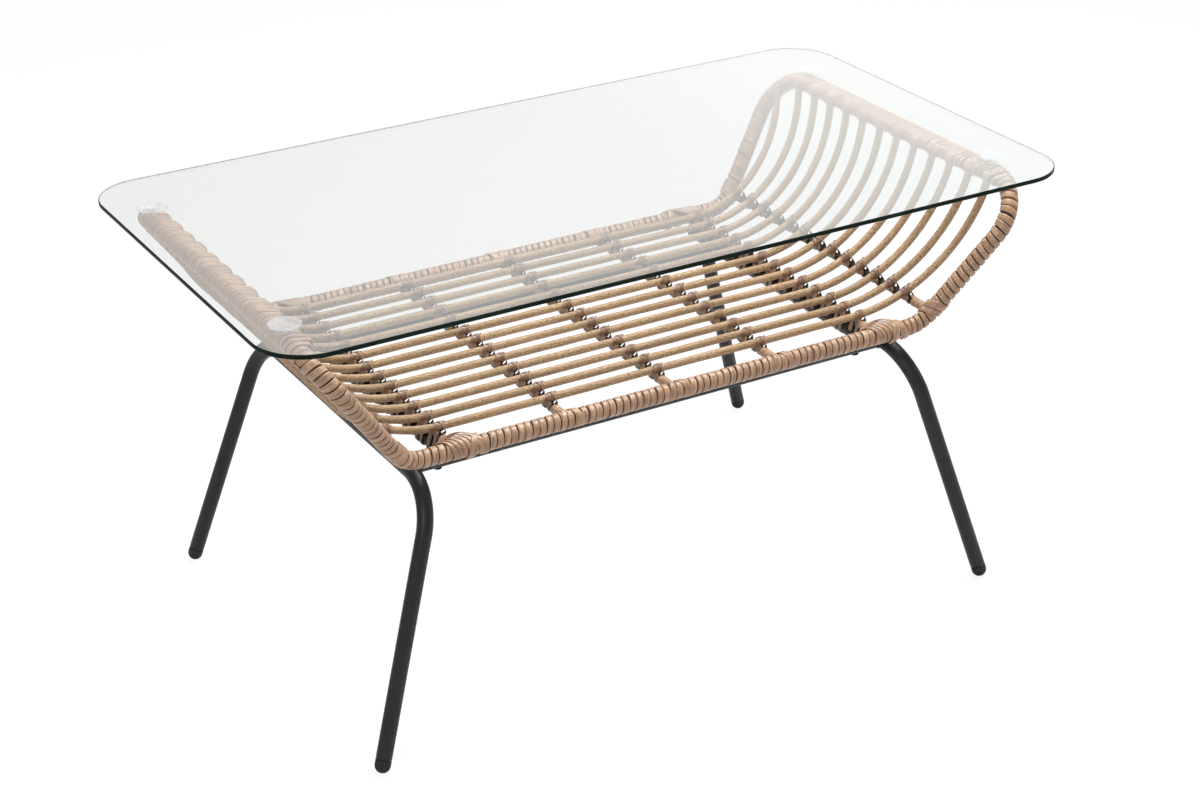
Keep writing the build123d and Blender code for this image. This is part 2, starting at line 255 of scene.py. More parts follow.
class Skin:
    """Collects swept surfaces and turns them into one mesh piece."""

    def __init__(self):
        self.verts = []
        self.faces = []
        self.uvs = []
        self.count = 0

    def sweep(self, rings, along, around, closed_path=False):
        """Adds a surface through rings of points; along and around are its UV lengths."""
        rows, columns, _ = rings.shape
        base = self.count
        self.verts.append(rings.reshape(-1, 3))
        self.count += rows * columns
        last = rows if closed_path else rows - 1
        i = np.repeat(np.arange(last), columns)
        k = np.tile(np.arange(columns), last)
        after_i = (i + 1) % rows
        after_k = (k + 1) % columns
        quads = np.stack([i * columns + k, after_i * columns + k,
                          after_i * columns + after_k, i * columns + after_k], axis=1)
        self.faces.extend((quads + base).tolist())
        u0, u1 = along[i], along[np.minimum(i + 1, len(along) - 1)]
        v0, v1 = around[k], around[k + 1]
        self.uvs.append(np.stack([u0, v0, u1, v0, u1, v1, u0, v1], axis=1).reshape(-1, 2))
        if not closed_path:
            first = [base + c for c in range(columns)]
            final = [base + (rows - 1) * columns + c for c in reversed(range(columns))]
            for cap, u in ((first, along[0]), (final, along[-1])):
                self.faces.append(cap)
                self.uvs.append(np.stack([np.full(columns, u), around[:columns]], axis=1))

    def tube(self, points, radius, reference, segments, seed=0.0, closed=False):
        """Adds a round bar; radius is a number or one value per point."""
        direction = tangents(points, closed)
        across = unit(reference - (direction @ reference)[:, None] * direction)
        beside = np.cross(direction, across)
        angles = np.arange(segments) * 2 * math.pi / segments
        radius = np.broadcast_to(radius, len(points))
        ring = (np.cos(angles)[None, :, None] * across[:, None, :]
                + np.sin(angles)[None, :, None] * beside[:, None, :])
        rings = points[:, None, :] + ring * radius[:, None, None]
        steps = np.linalg.norm(np.diff(points, axis=0), axis=1)
        along = np.concatenate([[0], np.cumsum(steps), [steps.sum() + 1]]) + seed
        around = np.linspace(0, 2 * math.pi * radius.mean(), segments + 1)
        self.sweep(rings, along, around, closed_path=closed)

    def strip(self, points, normals, width, thick, seed, closed=False):
        """Adds a flat crowned strip lying on a surface with the given normals."""
        direction = tangents(points, closed)
        normals = unit(normals - np.sum(normals * direction, axis=1, keepdims=True) * direction)
        across = np.cross(direction, normals)
        width = np.broadcast_to(width, len(points))
        rings = (points[:, None, :]
                 + across[:, None, :] * (STRIP_ACROSS[None, :] * width[:, None])[..., None]
                 + normals[:, None, :] * (STRIP_HEIGHT * thick)[None, :, None])
        steps = np.linalg.norm(np.diff(points, axis=0), axis=1)
        along = np.concatenate([[0], np.cumsum(steps), [steps.sum() + 1]]) + seed
        self.sweep(rings, along, strip_around(width.mean()), closed_path=closed)

    def revolve(self, profile, segments, centre, axis=UP):
        """Adds a turned shape from rows of (radius, height) along an axis."""
        profile = np.asarray(profile, float)
        axis = unit(axis)
        start = unit(np.cross(axis, (0.0, 1.0, 0.0)))
        other = np.cross(axis, start)
        angles = np.arange(segments) * 2 * math.pi / segments
        ring = np.cos(angles)[:, None] * start + np.sin(angles)[:, None] * other
        rings = (np.asarray(centre, float) + profile[:, 1, None, None] * axis
                 + profile[:, 0, None, None] * ring[None])
        along = np.concatenate([profile[:, 1], [profile[-1, 1]]])
        around = np.linspace(0, 2 * math.pi * profile[:, 0].max(), segments + 1)
        self.sweep(rings, along, around)

    def build(self, name, material, replaces):
        """Makes the object, gives it its material and puts it on the base."""
        mesh = bpy.data.meshes.new(name)
        verts = np.concatenate(self.verts) * METRES
        mesh.from_pydata(verts.tolist(), [], self.faces)
        layer = mesh.uv_layers.new(name="Length")
        layer.data.foreach_set("uv", (np.concatenate(self.uvs) * METRES).astype(np.float32).ravel())
        mesh.polygons.foreach_set("use_smooth", np.ones(len(mesh.polygons), bool))
        mesh.validate()
        place(name, mesh, [material], "base", replaces)


def place(name, mesh, materials, body, replaces):
    """Links a finished mesh and ties it to the frame."""
    piece = bpy.data.objects.new(name, mesh)
    bpy.context.scene.collection.objects.link(piece)
    for material in materials:
        mesh.materials.append(material)
    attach(piece, body)
    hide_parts(*replaces)


def strip_around(width):
    """UV distance round a strip's section."""
    gaps = np.diff(STRIP_ACROSS) * width
    return np.concatenate([[0], np.cumsum(gaps), [2 * width]])


# --- rim ---

class Track:
    """The rim's centre line with an upward and an outward direction."""

    def __init__(self):
        corners, radii = [], []
        for side, end in ((1, -1), (1, 1), (-1, 1), (-1, -1)):
            base = (np.array(RIM_BASE) * (side, end, 1), RIM_BEND_R)
            top = (np.array(RIM_TOP) * (side, end, 1), RIM_CORNER_R)
            for point, radius in ((base, top) if side == -end else (top, base)):
                corners.append(point)
                radii.append(radius)
        self.points = rounded_path(corners, radii, True, 1.5)
        steps = np.linalg.norm(np.diff(self.points, axis=0), axis=1)
        self.length = steps.sum()
        self.at = np.concatenate([[0], np.cumsum(steps)])
        direction = unit(np.roll(self.points[:-1], -1, axis=0) - np.roll(self.points[:-1], 1, axis=0))
        direction = np.concatenate([direction, direction[:1]])
        self.up = unit(UP - (direction @ UP)[:, None] * direction)
        self.out = np.cross(direction, self.up)

    def read(self, rows, s):
        """Values of the rows at distances along the rim."""
        flat = np.mod(s, self.length).ravel()
        values = [np.interp(flat, self.at, rows[:, k]) for k in range(3)]
        return np.stack(values, axis=1).reshape(*s.shape, 3)

    def place(self, s, out, up):
        """Points at a distance along the rim, offset outwards and upwards."""
        s = np.asarray(s, float)
        return (self.read(self.points, s) + self.read(self.out, s) * np.asarray(out)[..., None]
                + self.read(self.up, s) * np.asarray(up)[..., None])

    def nearest(self, point):
        """Distance along the rim of the place closest to a point."""
        gap = np.linalg.norm(self.points - np.asarray(point, float), axis=1)
        return self.at[int(np.argmin(gap))]


TRACK = Track()


def reed_base_y(number):
    """Y of a reed on the flat tray."""
    return REED_SHIFT_BASE + (number - (REED_COUNT - 1) / 2) * REED_PITCH_BASE


def reed_top_y(number):
    """Y of a reed's tips at the end rails."""
    return REED_SHIFT_TOP + (number - (REED_COUNT - 1) / 2) * REED_PITCH_TOP


def wrap_section(lump, samples):
    """Outline of a wrap turn round the rim core and a reed tip beside it.

    Returns outward, upward and normal numbers. It starts at the outermost
    point, so turns with different lumps join there.
    """
    if lump < 1:
        angle = np.arange(samples) * 2 * math.pi / samples
        normal = np.stack([np.cos(angle), np.sin(angle)], axis=1)
        return normal * WRAP_R, normal
    lean = math.asin(min(0.95, (WRAP_R - TIP_WRAP_R) / lump))
    big = np.linspace(0, math.pi / 2 + lean, 20)
    small = np.linspace(math.pi / 2 + lean, math.pi, 12)
    upper = np.concatenate([
        np.stack([WRAP_R * np.cos(big), WRAP_R * np.sin(big)], axis=1),
        np.stack([TIP_WRAP_R * np.cos(small) - lump, TIP_WRAP_R * np.sin(small)], axis=1)])
    outline = np.concatenate([upper, upper[-2:0:-1] * (1, -1), upper[:1]])
    lengths = np.concatenate([[0], np.cumsum(np.linalg.norm(np.diff(outline, axis=0), axis=1))])
    at = np.linspace(0, lengths[-1], samples, endpoint=False)
    points = np.stack([np.interp(at, lengths, outline[:, k]) for k in (0, 1)], axis=1)
    ahead = np.roll(points, -1, axis=0) - np.roll(points, 1, axis=0)
    normal = unit(np.stack([ahead[:, 1], -ahead[:, 0]], axis=1))
    return points, normal


def tip_lump(y):
    """How far the wrap bulges over the reed tips at a place along an end rail.

    The wrap is full over each reed, tapers away in front of it and steps back
    out at the next one.
    """
    first, last = reed_top_y(0), reed_top_y(REED_COUNT - 1)
    if y > last + RAIL_AFTER:
        return 0.0
    index = math.ceil((y - TIP_REACH - first) / REED_PITCH_TOP)
    index = min(max(index, 0), REED_COUNT - 1)
    past = first + index * REED_PITCH_TOP - y - TIP_REACH
    if index == 0 and past > 0:
        return TIP_BULGE * max(0.0, 1 - past / TIP_RUN_IN)
    return TIP_BULGE - TIP_TAPER * min(1.0, max(0.0, past) / TIP_TAPER_RUN)


def turns_between(start, finish, pitch):
    """Evenly spread turns: rows of (start, pitch)."""
    count = max(1, int(round((finish - start) / pitch)))
    pitch = (finish - start) / count
    return [(start + n * pitch, pitch) for n in range(count)]


def wind(skin, turns, seed, rail=False, samples=30):
    """Winds one strip round the rim through a list of turns."""
    distances, offsets, normals, widths = [], [], [], []
    share = np.arange(samples) / samples
    for index, (start, pitch) in enumerate(turns):
        middle = TRACK.place(np.array(start + pitch / 2), 0.0, 0.0)
        lump = tip_lump(middle[1]) if rail else 0.0
        outline, normal = wrap_section(lump, samples)
        slip = WRAP_SLIP * math.cos(math.pi * index) + SLIP_JITTER * RNG.normal()
        sway = math.sin(index * 0.9 + seed) * WRAP_SWAY
        distances.append(start + pitch * share + slip * 0.6 + sway * np.sin(2 * math.pi * share))
        offsets.append(outline)
        normals.append(normal)
        widths.append(np.full(samples, pitch * WRAP_COVER + WIDTH_JITTER * RNG.normal()))
    s = smooth_steps(np.concatenate(distances), samples)
    width = smooth_steps(np.concatenate(widths), samples)
    offset, normal = np.concatenate(offsets), np.concatenate(normals)
    lift = WRAP_LIFT * wobble(len(s), samples * 0.8, seed + 5)
    height = STRIP_HEIGHT[None, :] * STRIP_THICK * WRAP_CROWN + lift[:, None]
    out = offset[:, :1] + normal[:, :1] * height
    up = offset[:, 1:] + normal[:, 1:] * height
    rings = TRACK.place(s[:, None] + STRIP_ACROSS[None, :] * width[:, None], out, up)
    steps = np.linalg.norm(np.diff(rings[:, 4], axis=0), axis=1)
    along = np.concatenate([[0], np.cumsum(steps), [steps.sum()]]) + seed * 37
    skin.sweep(rings, along, strip_around(WRAP_PITCH))


def smooth_steps(values, window):
    """Softens the steps between turns over a third of a turn."""
    reach = max(1, window // 6)
    kernel = np.ones(2 * reach + 1) / (2 * reach + 1)
    padded = np.concatenate([
        values[0] + (values[0] - values[1:reach + 1])[::-1],
        values,
        values[-1] + (values[-1] - values[-reach - 1:-1])[::-1]])
    return np.convolve(padded, kernel, mode="valid")


def rim_stretches():
    """Where the end bindings start and stop along the rim, on each side."""
    front_y = reed_top_y(0) - RAIL_BEFORE
    rear_y = reed_top_y(REED_COUNT - 1) + RAIL_AFTER
    right = [TRACK.nearest((RIM_TOP[0], y, RIM_TOP[2])) for y in (front_y, rear_y)]
    left = [TRACK.nearest((-RIM_TOP[0], y, RIM_TOP[2])) for y in (rear_y, front_y)]
    return right, left


def rim_binding():
    """The strip wound round the rim, and the tighter end bindings over the reed tips."""
    right, left = rim_stretches()
    skin = Skin()
    wind(skin, turns_between(right[1], left[0], WRAP_PITCH), 1)
    wind(skin, turns_between(left[1], right[0] + TRACK.length, WRAP_PITCH), 2)
    for row in ROWS:
        rod_ends(skin, row)
    skin.build("rim_binding", WICKER, ["rim_wrap"])
    for name, (start, finish), seed in (("right", right, 3), ("left", left, 4)):
        skin = Skin()
        wind(skin, turns_between(start, finish, RAIL_PITCH), seed, rail=True, samples=40)
        skin.build(f"end_binding_{name}", WICKER, [f"end_lashing_{name}"])


# --- reeds and rods ---

def rail_turn(y):
    """Angle an end rail has turned through, and the direction in which it dips."""
    side = unit(np.array(RIM_TOP) - RIM_BASE)
    straight_half = RIM_TOP[1] - RIM_CORNER_R * math.tan(math.acos(-side[1]) / 2)
    turn = math.asin(max(0.0, abs(y) - straight_half) / RIM_CORNER_R)
    return turn, unit(side * (-1, 0, -1))


def reed_tip(number):
    """Right-hand tip of a reed, standing just inside the end rail."""
    y = reed_top_y(number)
    turn, down = rail_turn(y)
    rail = np.array([RIM_TOP[0], y, RIM_TOP[2]]) + down * RIM_CORNER_R * (1 - math.cos(turn))
    clear = REED_TIP_CLEAR / math.sqrt(1 - (down[0] * math.sin(turn)) ** 2)
    return rail + (-clear, 0.0, REED_TIP_RISE)


def reed_shape(number):
    """Leaning up direction, bend radius and bend angle of a reed."""
    tip = reed_tip(number)
    rise = tip[2] - REED_BASE_Z
    lean = math.atan2(tip[1] - reed_base_y(number), rise)
    run = tip[0] - REED_BEND_X
    height = rise / math.cos(lean)
    up = np.array([0.0, math.sin(lean), math.cos(lean)])
    return up, (run**2 + height**2) / (2 * height), 2 * math.atan2(height, run)


def reed_points(number):
    """Centre line of a reed, from its left tip to its right tip."""
    up, radius, turn = reed_shape(number)
    angle = np.linspace(0, turn, 60)
    flat = np.linspace(0, REED_BEND_X, 100, endpoint=False)
    reach = np.concatenate([flat, REED_BEND_X + radius * np.sin(angle)])
    height = np.concatenate([0 * flat, radius * (1 - np.cos(angle))])
    reach = np.concatenate([-reach[:0:-1], reach])
    height = np.concatenate([height[:0:-1], height])
    origin = np.array([0.0, reed_base_y(number), REED_BASE_Z])
    return resample(origin + reach[:, None] * (1.0, 0.0, 0.0) + height[:, None] * up, 4.0)


def reed_at(number, reach):
    """Centre and direction of a reed at a distance along the table from the middle."""
    origin = np.array([0.0, reed_base_y(number), REED_BASE_Z])
    up, radius, _ = reed_shape(number)
    angle = math.asin(max(0.0, abs(reach) - REED_BEND_X) / radius)
    side = math.copysign(1, reach)
    centre = origin + np.array([reach, 0, 0]) + up * radius * (1 - math.cos(angle))
    direction = unit(np.array([math.cos(angle), 0, 0]) + up * side * math.sin(angle))
    return centre, direction


def reeds():
    """Thirteen round reeds with slightly uneven skins."""
    for number in range(REED_COUNT):
        points = reed_points(number)
        count = len(points)
        sway = REED_SWAY * wobble(count, 30, 100 + number)
        points = points + sway[:, None] * (0.0, 1.0, 0.0)
        radius = REED_R + REED_UNEVEN * wobble(count, 6, 200 + number)
        skin = Skin()
        skin.tube(points, radius, np.array([0.0, 1.0, 0.0]), segments=20, seed=number * 811.0)
        skin.build(f"reed_cane_{number + 1:02d}", REED, [f"reed_{number + 1:02d}"])


def rod_place(row):
    """X and Z of a cross rod."""
    if row in RAISED_ROWS:
        return math.copysign(END_ROD[0], row - 4), END_ROD[1]
    return (row - 4) * ROD_PITCH, RIM_BASE[2]


def rim_y_at(height):
    """Y of the rim's centre on its long sides at a height."""
    share = (height - RIM_BASE[2]) / (RIM_TOP[2] - RIM_BASE[2])
    return RIM_BASE[1] + share * (RIM_TOP[1] - RIM_BASE[1])


def knot_reach(row, number):
    """Where along the table a reed passes over a rod."""
    x, _ = rod_place(row)
    if row not in RAISED_ROWS:
        return x
    _, radius, _ = reed_shape(number)
    slope = (END_ROD[0] - REED_BEND_X) / (radius + ROD_DEPTH)
    return x - math.copysign(ROD_DEPTH * slope, x)


# --- lashings ---

# Tent of the second strand over a knot: place and normal along reed, rod and up.
TENT = (
    ((-1.5, 5.4, -3.0), (0.0, 1.0, 0.0)),
    ((0.8, 4.4, 2.6), (0.0, 0.85, 0.5)),
    ((2.8, 1.2, 5.5), (0.0, 0.25, 0.97)),
    ((4.6, -2.0, 4.2), (0.35, -0.45, 0.82)),
    ((6.4, -4.4, 0.2), (0.75, -0.55, 0.35)),
    ((7.8, -5.6, -4.4), (0.95, -0.25, 0.15)),
)


def under_pass(lane, lower):
    """Rows of a strand that goes down beside a rod, under it and up again."""
    level, sink = 0.7, 0.72
    down = [(radius, lane, -depth, 1, 0, 0, PASS_WIDTH) for radius, depth in lower]
    up = [(-radius, lane, -depth, -1, 0, 0, PASS_WIDTH) for radius, depth in reversed(lower)]
    round_r, depth = lower[-1]
    bottom = [(way * round_r * level, lane, -depth - round_r * sink, way * level, 0, -sink, PASS_WIDTH)
              for way in (1, -1)]
    return down + bottom + up


def crossed_strand(slant, lower, sway, foot):
    """Closed path of one lashing in the knot's own frame, with its width.

    Columns are place along the reed, along the rod and up, the normal, then
    the width. A flat band crosses over the reed on the slant and goes under
    the rod. The strand comes back over the band's upper end, tents down to
    the rod's other side and leaves a dark hollow beside the band. lower is
    the list of rounds that it goes under: (radius, depth); foot draws the
    tent closer to the rod.
    """
    rows = []
    for share in np.linspace(-1, 1, 7):
        angle = share * BAND_HALF_TURN
        radius = REED_R + STRAND_GAP / 2
        rows.append((share * slant + BAND_SHIFT, radius * math.sin(angle), radius * math.cos(angle),
                     0, math.sin(angle), math.cos(angle), BAND_WIDTH))
    rows += under_pass(PASS_LANE, lower)
    for (reach, beside, above), normal in TENT:
        rows.append((reach * foot + sway, beside, above, *normal, TENT_WIDTH))
    rows += under_pass(-PASS_LANE, lower)
    return smooth_loop(rows, True, 5)


def knots(skin, row):
    """A crossed lashing on every reed along one rod."""
    lower = [(ROD_R + STRAND_GAP, ROD_DEPTH)]
    if row in TUBE_ROWS:
        lower.append((STEEL_R + STRAND_GAP, REED_BASE_Z - TRAY_TUBE_Z))
    foot = TENT_CLOSE if row > 5 else TENT_WIDE
    for number in range(REED_COUNT):
        local = np.random.default_rng(1000 * row + number)
        centre, along = reed_at(number, knot_reach(row, number))
        across = unit(np.array([0.0, 1.0, 0.0]) - along[1] * along)
        up = np.cross(along, across)
        slant = BAND_SLANT + KNOT_JITTER * local.normal()
        path = crossed_strand(slant, lower, KNOT_JITTER * local.normal(), foot)
        basis = np.stack([along, across, up])
        points = centre + path[:, :3] @ basis + along * KNOT_JITTER * local.normal()
        normals = path[:, 3:6] @ basis
        grain = row * 977.0 + number * 61.0
        skin.strip(points, normals, path[:, 6], KNOT_THICK, grain, closed=True)


def coil(skin, start, finish, radius, pitch, width, seed):
    """A strip wound round a straight bar."""
    start, finish = np.asarray(start, float), np.asarray(finish, float)
    axis = unit(finish - start)
    length = np.linalg.norm(finish - start)
    turns = max(1.0, length / pitch)
    count = int(turns * 22)
    share = np.linspace(0, 1, count)
    angle = share * turns * 2 * math.pi + seed
    side = unit(np.cross(axis, UP))
    over = np.cross(side, axis)
    normal = np.cos(angle)[:, None] * side + np.sin(angle)[:, None] * over
    points = start + share[:, None] * (finish - start) + normal * radius
    skin.strip(points, normal, width, 0.95 * STRIP_THICK, seed * 53.0)


def rim_strand(skin, s, theta, lift, width, seed):
    """A strip laid over the rim's wrap through rows of distance and angle."""
    path = smooth_loop(np.stack([s, np.radians(theta), lift], axis=1), False, 9)
    reach = WRAP_R + STRIP_THICK * 0.7 + path[:, 2]
    points = TRACK.place(path[:, 0], reach * np.sin(path[:, 1]), reach * np.cos(path[:, 1]))
    core = TRACK.place(path[:, 0], np.zeros_like(reach), np.zeros_like(reach))
    skin.strip(points, unit(points - core), width, STRIP_THICK, seed)


def rod_ends(skin, row):
    """Strip wound over the rod's ends, and the strands that tie them to the rim."""
    x, z = rod_place(row)
    edge = rim_y_at(z)
    for end, _ in ENDS:
        reed = 0 if end < 0 else REED_COUNT - 1
        knot_y = reed_at(reed, knot_reach(row, reed))[0][1]
        inner = knot_y + end * KNOT_CLEAR
        outer = end * (edge - WRAP_R)
        here = TRACK.nearest((x, end * edge, z))
        if row in TUBE_ROWS:
            coil(skin, (x, inner, z), (x, outer, z), ROD_R + 0.5, 6.0, 6.2, row)
            fan(skin, here, row * 7 + end)
            continue
        coil(skin, (x, inner, z), (x, outer, z), ROD_R + 0.4, 7.4, 7.4, row + 0.5)
        if row in RAISED_ROWS:
            slope_tie(skin, here, -end if x > 0 else end, row * 11 + end)
        else:
            tee_tie(skin, here, row * 13 + end)


def fan(skin, here, seed):
    """Strands that spread from a rod's end over the rim, then a crossed pair.

    Each strand has places along the rim, angles round it and lifts off the wrap.
    """
    theta = np.array([-118, -85, -50, 0, 70, 150])
    for k in range(FAN_COUNT):
        s = here + np.array([-23, -20, -15, -9, -5, -3]) + k * np.array([0.8, 2.2, 4.4, 5.8, 6.2, 6.2])
        lift = np.array([1.5, 2.5, 2.0, 0.9, 0.4, -0.3]) + k * np.array([0.9, 1.5, 1.3, 0.4, 0.1, 0.0])
        rim_strand(skin, s, theta, lift, FAN_WIDTH, seed * 31.0 + k * 97)
    theta = np.array([-150, -80, 0, 80, 150])
    for way, lift in ((1, 1.2), (-1, 2.0)):
        s = here + CROSS_AWAY + way * np.array([-8, -5, 0, 6, 9])
        rim_strand(skin, s, theta, np.full(5, lift), CROSS_WIDTH, seed * 17.0 + way)


def tee_tie(skin, here, seed):
    """Two strands that part from a rod's end and cross the rim on either side."""
    theta = np.array([-110, -70, -5, 75, 150])
    lift = np.array([0.9, 1.0, 0.6, 0.2, -0.3])
    for way, width in ((-1, 6.5), (1, 8.5)):
        s = here + way * np.array([0.5, 2.2, 6, 10.5, 12])
        rim_strand(skin, s, theta, lift, width, seed * 41.0 + way)


def slope_tie(skin, here, way, seed):
    """Strands that cross the rim on the slant where a raised rod meets it."""
    theta = np.array([-110, -70, 0, 75, 150])
    for shift, width, raise_by in ((-5, 8.5, 0.3), (4, 9.5, 0.9)):
        s = here + shift + way * np.array([-7, -4, 1, 7, 10])
        lift = np.array([0.9, 1.1, 0.8, 0.5, -0.2]) + raise_by
        rim_strand(skin, s, theta, lift, width, seed * 43.0 + shift)


def rods_and_lashings():
    """Seven black rods, each with its row of lashings."""
    for row in ROWS:
        x, z = rod_place(row)
        half = rim_y_at(z) - STEEL_R - EDGE_ROUND
        rod = Skin()
        rod.tube(resample(np.array([(x, -half, z), (x, half, z)]), 8.0), ROD_R, UP, segments=20)
        rod.build(f"cross_bar_{row}", BLACK, [f"cross_rod_{row}"])
        ties = Skin()
        knots(ties, row)
        ties.build(f"lashings_{row}", WICKER_KNOT_SHADED, [f"lashing_row_{row}"])


# --- steel base ---

def leg_frames():
    """Two bent tubes, with a fine groove above each foot cap."""
    for side, name in SIDES:
        bend = np.array([side * LEG_TOP[0], LEG_TOP[1], BASE_Z])
        foot = np.array([side * FOOT[0], FOOT[1], FOOT[2]])
        start = foot + unit(bend - foot) * FOOT_COLLAR
        front = (1, -1, 1)
        path = rounded_path([start * front, bend * front, bend, start],
                            [0, LEG_BEND_R, LEG_BEND_R, 0], False, 3.0)
        radius = np.full(len(path), FRAME_R)
        radius[[0, -1]] -= EDGE_ROUND
        skin = Skin()
        skin.tube(path, radius, np.array([1.0, 0.0, 0.3]), segments=40, seed=side * 500)
        skin.build(f"leg_tube_{name}", BLACK, [f"leg_frame_{name}"])


def stretchers():
    """Straight tubes between the leg frames, each end with its weld bead."""
    for end, name in ENDS:
        y = end * STRETCHER_Y
        reach = LEG_TOP[0] - STRETCHER_INSET
        skin = Skin()
        line = resample(np.array([(-reach, y, BASE_Z), (reach, y, BASE_Z)]), 10.0)
        skin.tube(line, FRAME_R, UP, segments=40, seed=end * 900)
        for side, _ in SIDES:
            angle = np.linspace(0, 2 * math.pi, 72, endpoint=False)
            stand = BEAD_INSET + (FRAME_R + BEAD_STANDOFF) * np.abs(np.cos(angle))
            x = side * (LEG_TOP[0] - stand)
            bead = np.stack([x, y + FRAME_R * np.cos(angle), BASE_Z + FRAME_R * np.sin(angle)], axis=1)
            ripple = BEAD_R + BEAD_RIPPLE * np.sin(angle * BEAD_WAVES)
            skin.tube(bead, ripple, np.array([1.0, 0.0, 0.0]), segments=10, closed=True)
        skin.build(f"stretcher_tube_{name}", BLACK, [f"stretcher_{name}"])


def tray_tubes():
    """Tubes under the outer flat rods, with rounded ends."""
    for side, name in SIDES:
        x = side * 2 * ROD_PITCH
        ends = np.array([(x, end * TRAY_TUBE_HALF, TRAY_TUBE_Z) for end, _ in ENDS])
        line = resample(ends, 4.0)
        radius = np.full(len(line), STEEL_R)
        radius[[0, -1]] -= TUBE_END_ROUND
        skin = Skin()
        skin.tube(line, radius, UP, segments=40, seed=side * 700)
        skin.build(f"under_tube_{name}", BLACK, [f"tray_tube_{name}"])


def foot_caps():
    """Domed plastic caps, worn flat where they stand on the floor."""
    for side, side_name in SIDES:
        for end, end_name in ENDS:
            tip = np.array([side * FOOT[0], end * FOOT[1], FOOT[2]])
            bend = np.array([side * LEG_TOP[0], end * LEG_TOP[1], BASE_Z])
            axis = unit(bend - tip)
            dome = [(FRAME_R * math.sin(angle), -FRAME_R * math.cos(angle))
                    for angle in np.linspace(0.03, math.pi / 2, 14)]
            collar = [(FRAME_R, 2), (FRAME_R, FOOT_COLLAR - 0.5),
                      (FRAME_R - EDGE_ROUND, FOOT_COLLAR - 0.1)]
            plug = [(PLUG_R, FOOT_COLLAR), (PLUG_R, FOOT_COLLAR + PLUG_DEPTH)]
            skin = Skin()
            skin.revolve(dome + collar + plug, 40, tip, axis)
            verts = skin.verts[0]
            verts[:, 2] = np.maximum(verts[:, 2], 0.0)
            skin.build(f"foot_{end_name}_{side_name}", FOOT_PLASTIC,
                       [f"foot_cap_{end_name}_{side_name}"])


def bolts():
    """Round bolt heads with hexagon sockets under the stretchers."""
    skin = Skin()
    top = BASE_Z - FRAME_R - 0.1
    for side, _ in SIDES:
        for end, _ in ENDS:
            centre = (side * 2 * ROD_PITCH, end * STRETCHER_Y, top)
            skin.revolve(BOLT_HEAD, 36, centre, -UP)
            skin.revolve(BOLT_SOCKET, 6, centre, -UP)
            skin.revolve(BOLT_SHANK, 20, centre, -UP)
    skin.build("bolt_heads", BLACK, ["tray_bolts"])


# --- glass and cups ---

def plate_outline(inset):
    """Rounded rectangle drawn in by an inset."""
    radius = GLASS_CORNER_R - inset
    points = []
    for quarter, (sx, sy) in enumerate(((1, 1), (-1, 1), (-1, -1), (1, -1))):
        cx = sx * (GLASS[0] / 2 - GLASS_CORNER_R)
        cy = sy * (GLASS[1] / 2 - GLASS_CORNER_R)
        for angle in np.linspace(0, math.pi / 2, CORNER_STEPS) + quarter * math.pi / 2:
            points.append((cx + radius * math.cos(angle), cy + radius * math.sin(angle)))
    return np.array(points)


def glass_plate():
    """Rounded plate: two clear faces and a ground, polished edge."""
    thick = GLASS_HIGH - GLASS_LOW
    edge = [*GLASS_ARRIS, *((inset, thick - z) for inset, z in reversed(GLASS_ARRIS))]
    rings = [np.column_stack([plate_outline(inset), np.full(4 * CORNER_STEPS, GLASS_LOW + z)])
             for inset, z in edge]
    verts = np.concatenate(rings) * METRES
    count = len(rings[0])
    faces = []
    for row in range(len(rings) - 1):
        for k in range(count):
            ahead = (k + 1) % count
            faces.append((row * count + k, row * count + ahead,
                          (row + 1) * count + ahead, (row + 1) * count + k))
    sides = len(faces)
    faces.append(tuple(reversed(range(count))))
    faces.append(tuple((len(rings) - 1) * count + k for k in range(count)))
    mesh = bpy.data.meshes.new("glass_plate")
    mesh.from_pydata(verts.tolist(), [], faces)
    slots = [1] * sides + [0, 2]
    materials = [GLASS_BELOW, GLASS_EDGE, GLASS_ABOVE]
    place("glass_plate", mesh, materials, "glass", ["glass_top"])
    mesh.polygons.foreach_set("material_index", slots)
    mesh.polygons.foreach_set("use_smooth", [True] * sides + [False, False])


def suction_cups():
    """Clear cups with a dished face, a centre ring and a short neck."""
    for side, side_name in SIDES:
        for end, end_name in ENDS:
            skin = Skin()
            skin.revolve(CUP_OUTLINE, 64, (side * RIM_TOP[0], end * CUP_Y, GLASS_LOW))
            skin.build(f"cup_{end_name}_{side_name}", CLEAR_RUBBER,
                       [f"suction_cup_{end_name}_{side_name}"])


# --- materials ---

